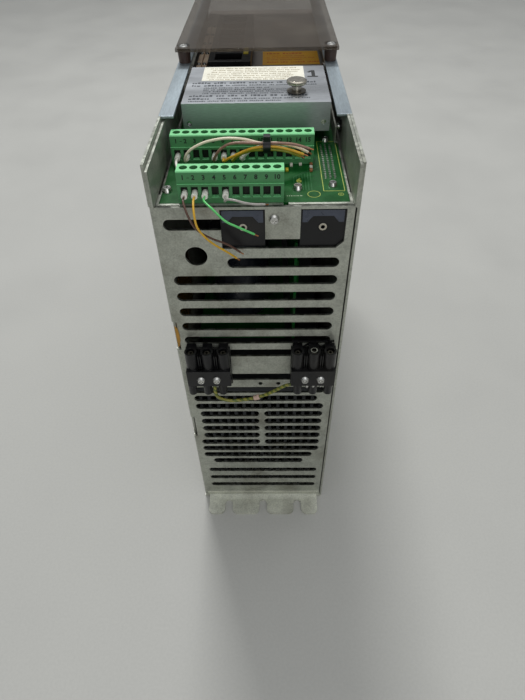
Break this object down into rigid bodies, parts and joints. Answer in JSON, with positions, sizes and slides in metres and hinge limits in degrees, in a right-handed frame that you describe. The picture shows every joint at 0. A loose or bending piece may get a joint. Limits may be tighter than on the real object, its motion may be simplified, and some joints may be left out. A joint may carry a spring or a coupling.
{
  "type": "servo drive",
  "caption": "Tall narrow cabinet drive module in zinc-plated sheet, with louvred ends, plug-in terminal strips, a pull-out programming module and a smoked cover.",
  "frame": {"origin": "bottom centre of the box, on the back of the mounting plate", "axes": "+Z from the mounting plate towards the front, +Y up the wall the drive hangs on, +X to the right seen from the front"},
  "size_m": [0.105, 0.39, 0.326],
  "materials": {
    "zinc_sheet": "zinc-plated sheet with a faint yellow-green passivation, matt with rolling grain",
    "zinc_rail": "zinc-plated sheet with a faint blue passivation, satin",
    "screw_steel": "bright zinc-plated steel",
    "black_moulding": "black moulded thermoplastic, semi-gloss",
    "amber_film": "amber insulating film",
    "board_green": "green solder resist over glass-fibre laminate",
    "tin": "tinned metal",
    "terminal_green": "moulded green polyamide",
    "ferrule_ivory": "ivory plastic collar",
    "module_alu": "satin anodised aluminium sheet",
    "chip_black": "black moulded resin",
    "nickel": "nickel-plated knurled brass",
    "dark_steel": "phosphated spring steel",
    "plate_grey": "grey painted sheet",
    "copper": "bare copper, slightly oxidised",
    "smoked_acrylic": "smoked brown-grey acrylic, polished",
    "pillar_brown": "dark brown moulded spacer",
    "heat_sink_alu": "mill-finish extruded aluminium",
    "ceramic_white": "pale moulded power module case",
    "can_dark": "dark sleeve of an electrolytic capacitor",
    "fan_black": "black glass-filled polyamide",
    "wire_brown": "brown PVC insulation",
    "wire_yellow": "amber yellow PVC insulation",
    "wire_green": "light green PVC insulation",
    "wire_grey": "pale grey PVC insulation",
    "wire_cream": "cream PVC insulation",
    "wire_pink_brown": "pinkish brown PVC insulation",
    "wire_lime": "yellow-green PVC insulation",
    "wire_white": "white PVC insulation",
    "earth_stripe": "green and yellow PVC insulation",
    "tie_black": "black nylon"
  },
  "bodies": {
    "housing": {"mounting_plate": "zinc_sheet", "bottom_grille": "zinc_sheet", "top_grille": "zinc_sheet", "left_panel": "zinc_sheet", "right_cover": "zinc_sheet", "front_rails": "zinc_rail", "cheek_liners": "zinc_sheet", "front_tray": "zinc_sheet", "housing_screws": "screw_steel", "socket_blocks": "black_moulding", "insulating_film": "amber_film", "terminal_board": "board_green", "board_screws": "screw_steel", "board_connector": "chip_black", "board_pins": "tin", "x5_header": "terminal_green", "x6_header": "terminal_green", "module_socket": "chip_black", "thumbscrew_standoff": "nickel", "front_plate": "plate_grey", "bus_bars": "copper", "power_terminals": "black_moulding", "front_cover": "smoked_acrylic", "cover_pillars": "pillar_brown", "cover_screws": "screw_steel", "supply_inlet": "black_moulding", "supply_outlet": "black_moulding", "supply_screws": "screw_steel", "heat_sink": "heat_sink_alu", "fan_frame": "fan_black", "power_modules": "ceramic_white", "power_board": "board_green", "dc_capacitors": "can_dark", "control_board": "board_green", "earth_jumper": "earth_stripe"},
    "rear_plug": {"x5_plug": "terminal_green", "x5_clamp_screws": "screw_steel", "x5_ferrules": "ferrule_ivory", "loom_cream": "wire_cream", "loom_brown": "wire_pink_brown", "loom_yellow": "wire_yellow", "loom_lime": "wire_lime", "loom_white": "wire_white", "loom_short": "wire_white", "cable_tie": "tie_black"},
    "near_plug": {"x6_plug": "terminal_green", "x6_clamp_screws": "screw_steel", "x6_ferrules": "ferrule_ivory", "wire_brown": "wire_brown", "wire_yellow": "wire_yellow", "wire_green": "wire_green", "wire_grey": "wire_grey"},
    "module": {"module_case": "module_alu", "module_base": "chip_black", "module_board": "board_green", "module_plug": "chip_black", "thumbscrew_washer": "dark_steel"},
    "screw_clip": {"thumbscrew_clip": "dark_steel"},
    "thumbscrew": {"thumbscrew": "nickel"},
    "fan": {"fan_rotor": "fan_black"}
  },
  "joints": [
    {"name": "rear_plug_pull", "type": "slide", "parent": "housing", "child": "rear_plug", "axis": [0, 0, 1], "range_m": [0, 0.018]},
    {"name": "near_plug_pull", "type": "slide", "parent": "housing", "child": "near_plug", "axis": [0, 0, 1], "range_m": [0, 0.018]},
    {"name": "module_pull", "type": "slide", "parent": "housing", "child": "module", "axis": [0, 0, 1], "range_m": [0, 0.04]},
    {"name": "thumbscrew_rise", "type": "slide", "parent": "module", "child": "screw_clip", "axis": [0, 0, 1], "range_m": [0, 0.0056]},
    {"name": "thumbscrew_turn", "type": "hinge", "parent": "screw_clip", "child": "thumbscrew", "pos_m": [0.0235, -0.09, 0.317], "axis": [0, 0, 1], "range_deg": [0, 2880]},
    {"name": "fan_spin", "type": "hinge", "parent": "housing", "child": "fan", "pos_m": [0, 0.1505, 0.074], "axis": [0, 1, 0], "continuous": true}
  ],
  "couplings": [
    {"joint": "thumbscrew_turn", "follows": "thumbscrew_rise", "rad_per_m": 8976}
  ]
}
